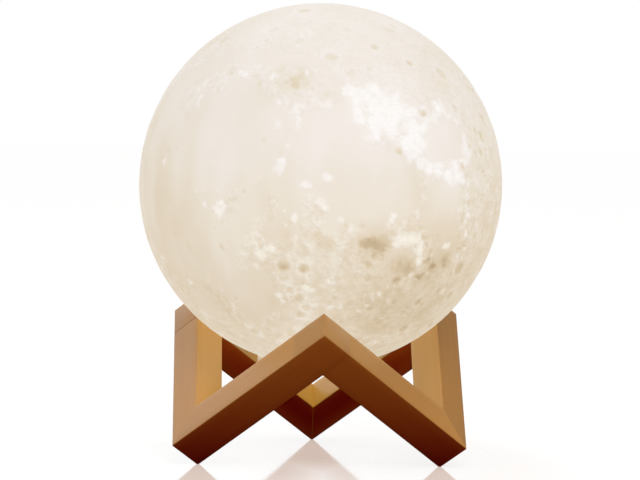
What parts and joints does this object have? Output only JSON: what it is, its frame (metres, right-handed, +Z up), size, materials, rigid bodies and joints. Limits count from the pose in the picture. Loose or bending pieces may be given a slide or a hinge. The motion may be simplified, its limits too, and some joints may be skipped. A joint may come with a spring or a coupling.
{
  "type": "moon lamp",
  "caption": "Glowing moon globe with a twist-out rechargeable light module in its neck, resting on a zig-zag ring stand of wooden bars.",
  "frame": {"origin": "on the table that the stand's three feet rest on, below the globe's centre", "axes": "+Z up, -Y towards the viewer's side, where one upper corner of the stand points, +X to the viewer's right"},
  "size_m": [0.15, 0.15, 0.1878],
  "materials": {
    "bar_wood": "satin lacquer over warm brown wood",
    "dowel_wood": "raw light wood",
    "moon_shell": "printed ivory plastic, lit from inside",
    "white_plastic": "moulded, fine matt",
    "button_plastic": "moulded, gloss",
    "steel": "plated",
    "board_green": "solder mask",
    "board_white": "white mask on aluminium",
    "black_plastic": "moulded, matt",
    "lamp_chip": "phosphor gel, lit",
    "clear_plastic": "clear, polished",
    "foam": "closed-cell foam",
    "battery_foil": "laminated foil",
    "lead_sleeve": "insulated lead",
    "frosted_plastic": "frosted"
  },
  "bodies": {
    "stand": {"front_left_bar": "bar_wood", "front_right_bar": "bar_wood", "left_bar": "bar_wood", "right_bar": "bar_wood", "back_left_bar": "bar_wood", "back_right_bar": "bar_wood", "butt_dowels": "dowel_wood", "mitre_dowels": "dowel_wood"},
    "globe": {"moon_shell": "moon_shell", "neck_ring": "white_plastic"},
    "light_module": {"module_cup": "white_plastic", "bottom_cover": "white_plastic", "cover_screws": "steel", "control_board": "board_green", "board_chips": "black_plastic", "switch_body": "black_plastic", "port_shell": "steel", "port_tongue": "black_plastic", "indicator_led": "lamp_chip", "light_pipe": "clear_plastic", "battery_pad": "foam", "battery_cell": "battery_foil", "battery_leads": "lead_sleeve", "lamp_leads": "lead_sleeve", "lamp_board": "board_white", "lamp_chips": "lamp_chip", "light_diffuser": "frosted_plastic"},
    "button": {"power_button": "button_plastic", "switch_plunger": "steel"}
  },
  "joints": [
    {"name": "globe_lift", "type": "slide", "parent": "stand", "child": "globe", "axis": [0, 0, 1], "range_m": [0, 0.1]},
    {"name": "module_twist", "type": "hinge", "parent": "globe", "child": "light_module", "pos_m": [0, 0, 0.03931], "axis": [0, 0, 1], "range_deg": [0, 30]},
    {"name": "button_press", "type": "slide", "parent": "light_module", "child": "button", "axis": [0, 0, 1], "range_m": [0, 0.0005], "stiffness_N_per_m": 2000, "springref_m": -0.0003}
  ]
}
